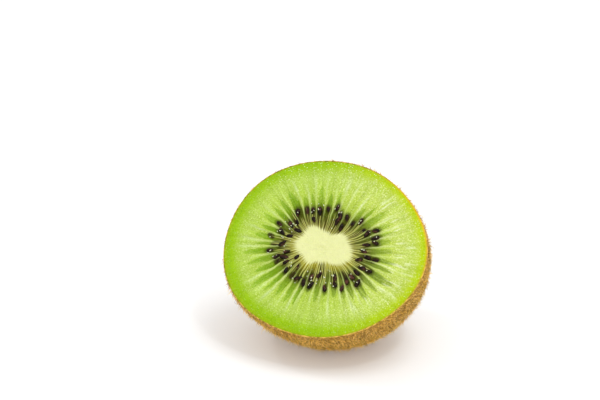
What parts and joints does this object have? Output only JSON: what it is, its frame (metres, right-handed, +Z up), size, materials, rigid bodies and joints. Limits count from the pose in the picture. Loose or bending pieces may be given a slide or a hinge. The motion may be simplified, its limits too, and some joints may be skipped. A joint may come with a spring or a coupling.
{
  "type": "kiwi fruit half",
  "caption": "Half of a kiwi fruit, cut across the middle, resting on its furry brown skin with the green cut face leaning back and looking up.",
  "frame": {"origin": "middle of the flat spot of skin that the half rests on", "axes": "+Z up, the cut face looks towards -Y and up, +X to the right of someone who looks at the cut face"},
  "size_m": [0.0536, 0.0455, 0.0439],
  "materials": {
    "flesh": null,
    "skin": null,
    "seed": "glossy black-brown seeds"
  },
  "bodies": {
    "root": {"kiwi_half": "flesh"}
  },
  "joints": []
}
